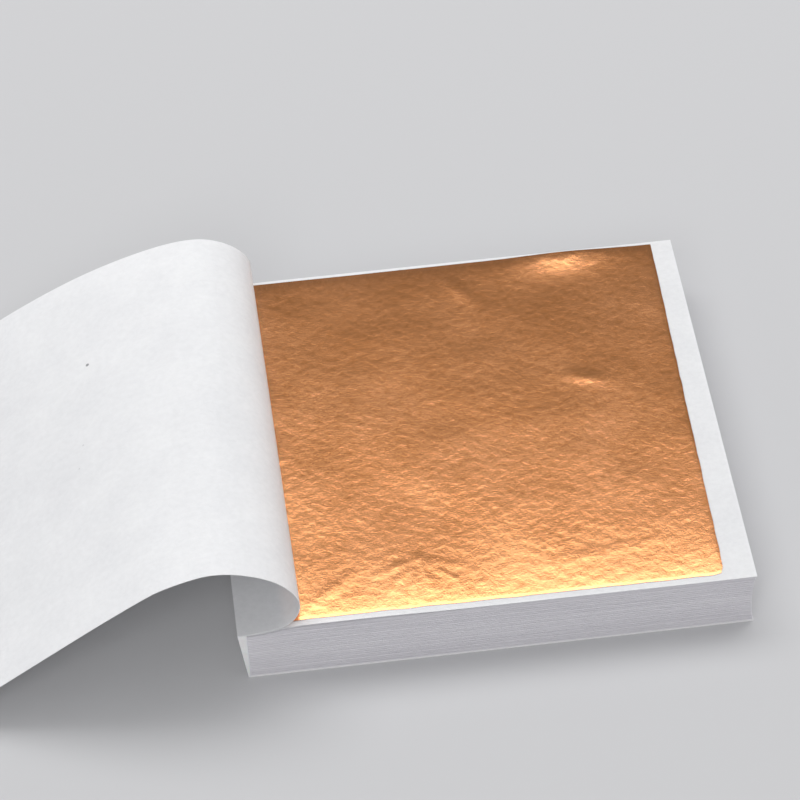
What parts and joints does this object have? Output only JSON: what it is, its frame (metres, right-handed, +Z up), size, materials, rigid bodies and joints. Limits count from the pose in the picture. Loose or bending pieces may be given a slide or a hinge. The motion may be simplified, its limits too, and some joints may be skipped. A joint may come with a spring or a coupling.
{
  "type": "gold leaf booklet",
  "caption": "Booklet of metal leaves between tissue papers glued along one edge, its top page bent back over the spine to show a loose leaf that slides off.",
  "frame": {"origin": "centre of the pad's underside, which rests on the table", "axes": "+X from the spine to the fore-edge, +Y from the front edge to the back edge, +Z up out of the pad"},
  "size_m": [0.1477, 0.0905, 0.0293],
  "materials": {
    "tissue_paper": "matt, slightly translucent",
    "backing_paper": "matt",
    "padding_glue": "satin, white when dry",
    "metal_leaf": "bright, finely crinkled"
  },
  "bodies": {
    "pad": {"backing_sheet": "backing_paper", "spine_glue": "padding_glue", "papers_01": "tissue_paper", "papers_02": "tissue_paper", "papers_03": "tissue_paper", "papers_04": "tissue_paper", "papers_05": "tissue_paper", "papers_06": "tissue_paper", "papers_07": "tissue_paper", "papers_08": "tissue_paper", "papers_09": "tissue_paper", "papers_10": "tissue_paper", "papers_11": "tissue_paper", "leaves_01": "metal_leaf", "leaves_02": "metal_leaf", "leaves_03": "metal_leaf", "leaves_04": "metal_leaf", "leaves_05": "metal_leaf", "leaves_06": "metal_leaf", "leaves_07": "metal_leaf", "leaves_08": "metal_leaf", "leaves_09": "metal_leaf", "leaves_10": "metal_leaf", "leaves_11": "metal_leaf", "open_page": "tissue_paper", "turned_page_root": "tissue_paper"},
    "page_strip_01": {"turned_page_strip_01": "tissue_paper"},
    "page_strip_02": {"turned_page_strip_02": "tissue_paper"},
    "page_strip_03": {"turned_page_strip_03": "tissue_paper"},
    "page_strip_04": {"turned_page_strip_04": "tissue_paper"},
    "page_strip_05": {"turned_page_strip_05": "tissue_paper"},
    "page_strip_06": {"turned_page_strip_06": "tissue_paper"},
    "loose_leaf": {"top_leaf": "metal_leaf"}
  },
  "joints": [
    {"name": "page_turn", "type": "hinge", "parent": "pad", "child": "page_strip_01", "pos_m": [-0.03722, 0, 0.01267], "axis": [-0.0062, 1, -0.0013], "range_deg": [0, 67.35]},
    {"name": "page_bend_02", "type": "hinge", "parent": "page_strip_01", "child": "page_strip_02", "pos_m": [-0.03505, -0.00002, 0.01804], "axis": [-0.0109, 0.9999, -0.013], "range_deg": [0, 55.95]},
    {"name": "page_bend_03", "type": "hinge", "parent": "page_strip_02", "child": "page_strip_03", "pos_m": [-0.03925, -0.00012, 0.0243], "axis": [-0.0015, 0.9996, -0.0271], "range_deg": [0, 34.25]},
    {"name": "page_bend_04", "type": "hinge", "parent": "page_strip_03", "child": "page_strip_04", "pos_m": [-0.04785, -0.00038, 0.02775], "axis": [0.0182, 0.9992, -0.035], "range_deg": [0, 34.25]},
    {"name": "page_bend_05", "type": "hinge", "parent": "page_strip_04", "child": "page_strip_05", "pos_m": [-0.05864, -0.00089, 0.0254], "axis": [-0.0435, 0.9979, -0.0485], "range_deg": [0, 10.4]},
    {"name": "page_bend_06", "type": "hinge", "parent": "page_strip_05", "child": "page_strip_06", "pos_m": [-0.07045, -0.00157, 0.02045], "axis": [-0.1774, 0.9786, -0.1042], "range_deg": [0, 10.4]},
    {"name": "leaf_slide", "type": "slide", "parent": "pad", "child": "loose_leaf", "axis": [1, 0, 0], "range_m": [0, 0.04]}
  ],
  "couplings": [
    {"joint": "page_bend_02", "follows": "page_turn", "ratio": 0.83074},
    {"joint": "page_bend_03", "follows": "page_turn", "ratio": 0.50854},
    {"joint": "page_bend_04", "follows": "page_turn", "ratio": 0.50854},
    {"joint": "page_bend_05", "follows": "page_turn", "ratio": 0.15442},
    {"joint": "page_bend_06", "follows": "page_turn", "ratio": 0.15442}
  ]
}
